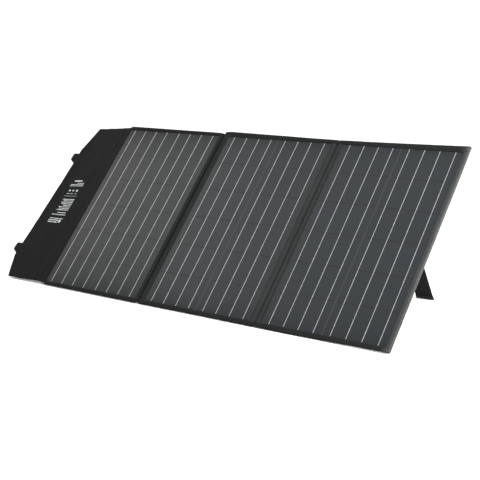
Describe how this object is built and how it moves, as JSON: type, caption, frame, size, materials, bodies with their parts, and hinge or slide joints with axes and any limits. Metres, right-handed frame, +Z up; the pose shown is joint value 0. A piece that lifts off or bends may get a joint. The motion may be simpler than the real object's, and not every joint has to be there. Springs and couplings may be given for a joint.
{
  "type": "folding solar panel",
  "caption": "Folding fabric-covered solar panel standing open on rear kickstand legs, with half-cut cells, a closure flap at one end and a carry handle behind.",
  "frame": {"origin": "middle of the footprint of the open panel, on the ground", "axes": "+X along the row of panels from the closure flap to the free end, +Y from the cell side to the legs, +Z up"},
  "size_m": [1.2154, 0.5, 0.4032],
  "materials": {
    "cover_fabric": "woven polyester, matt",
    "binding_tape": "ribbed tape, matt",
    "flap_fabric": "woven polyester, matt",
    "leg_fabric": "woven polyester, matt",
    "webbing": "webbing, matt",
    "hook_and_loop": "pile, matt",
    "cell_film": "silicon cells under a textured clear film, satin",
    "laminate_sheet": "satin",
    "ribbon_metal": "tinned, under film",
    "stiffener_board": "matt",
    "leg_core": "matt",
    "foot_rubber": "matt",
    "box_plastic": "moulded texture",
    "gasket_rubber": "matt",
    "screw_steel": "satin",
    "circuit_laminate": "solder mask, satin",
    "diode_body": "satin",
    "terminal_brass": "satin",
    "gland_plastic": "moulded, satin",
    "print_ink": "screen-printed marks, matt"
  },
  "bodies": {
    "centre_panel": {"front_cover_centre": "cover_fabric", "cells_centre": "cell_film", "ribbons_centre": "ribbon_metal", "end_links_centre": "ribbon_metal", "laminate_centre": "laminate_sheet", "board_centre": "stiffener_board", "back_cover_centre": "cover_fabric", "binding_centre": "binding_tape", "leg_hinge_centre": "leg_fabric", "leg_strap_centre": "webbing", "loop_patches": "hook_and_loop", "handle_strap": "webbing", "handle_patches": "cover_fabric"},
    "left_spine": {"left_fold_strip": "cover_fabric"},
    "left_panel": {"front_cover_left": "cover_fabric", "cells_left": "cell_film", "ribbons_left": "ribbon_metal", "end_links_left": "ribbon_metal", "laminate_left": "laminate_sheet", "board_left": "stiffener_board", "back_cover_left": "cover_fabric", "binding_left": "binding_tape", "leg_hinge_left": "leg_fabric", "leg_strap_left": "webbing", "junction_base": "box_plastic", "junction_gasket": "gasket_rubber", "junction_lid": "box_plastic", "junction_screws": "screw_steel", "circuit_board": "circuit_laminate", "blocking_diodes": "diode_body", "screw_terminals": "terminal_brass", "gland_body": "gland_plastic", "gland_nut": "gland_plastic"},
    "right_panel": {"front_cover_right": "cover_fabric", "cells_right": "cell_film", "ribbons_right": "ribbon_metal", "end_links_right": "ribbon_metal", "laminate_right": "laminate_sheet", "board_right": "stiffener_board", "back_cover_right": "cover_fabric", "binding_right": "binding_tape", "leg_hinge_right": "leg_fabric", "leg_strap_right": "webbing"},
    "gusset": {"flap_gusset": "cover_fabric"},
    "flap": {"flap_front": "flap_fabric", "flap_board": "stiffener_board", "flap_back": "flap_fabric", "closure_tabs": "webbing", "hook_patches": "hook_and_loop"},
    "left_leg": {"leg_core_left": "leg_core", "leg_sleeve_left": "leg_fabric", "leg_foot_left": "foot_rubber"},
    "centre_leg": {"leg_core_centre": "leg_core", "leg_sleeve_centre": "leg_fabric", "leg_foot_centre": "foot_rubber"},
    "right_leg": {"leg_core_right": "leg_core", "leg_sleeve_right": "leg_fabric", "leg_foot_right": "foot_rubber"}
  },
  "joints": [
    {"name": "right_fold", "type": "hinge", "parent": "centre_panel", "child": "right_panel", "pos_m": [0.26505, -0.0736, 0.2044], "axis": [0, -0.6639, -0.7478], "range_deg": [0, 180]},
    {"name": "left_inner_fold", "type": "hinge", "parent": "centre_panel", "child": "left_spine", "pos_m": [-0.07745, -0.0736, 0.2044], "axis": [0, 0.6639, 0.7478], "range_deg": [0, 90]},
    {"name": "left_fold", "type": "hinge", "parent": "left_spine", "child": "left_panel", "pos_m": [-0.09145, -0.0736, 0.2044], "axis": [0, 0.6639, 0.7478], "range_deg": [0, 90]},
    {"name": "gusset_fold", "type": "hinge", "parent": "left_panel", "child": "gusset", "pos_m": [-0.4382, -0.0736, 0.2044], "axis": [0, 0.6639, 0.7478], "range_deg": [0, 90]},
    {"name": "flap_fold", "type": "hinge", "parent": "gusset", "child": "flap", "pos_m": [-0.4602, -0.0736, 0.2044], "axis": [0, 0.6639, 0.7478], "range_deg": [0, 90]},
    {"name": "left_leg_fold", "type": "hinge", "parent": "left_panel", "child": "left_leg", "pos_m": [-0.2592, 0.03675, 0.31544], "axis": [-1, 0, 0], "range_deg": [0, 75], "deforming": ["leg_strap_left"]},
    {"name": "centre_leg_fold", "type": "hinge", "parent": "centre_panel", "child": "centre_leg", "pos_m": [0.0903, 0.03675, 0.31544], "axis": [-1, 0, 0], "range_deg": [0, 75], "deforming": ["leg_strap_centre"]},
    {"name": "right_leg_fold", "type": "hinge", "parent": "right_panel", "child": "right_leg", "pos_m": [0.4398, 0.03675, 0.31544], "axis": [-1, 0, 0], "range_deg": [0, 75], "deforming": ["leg_strap_right"]}
  ]
}
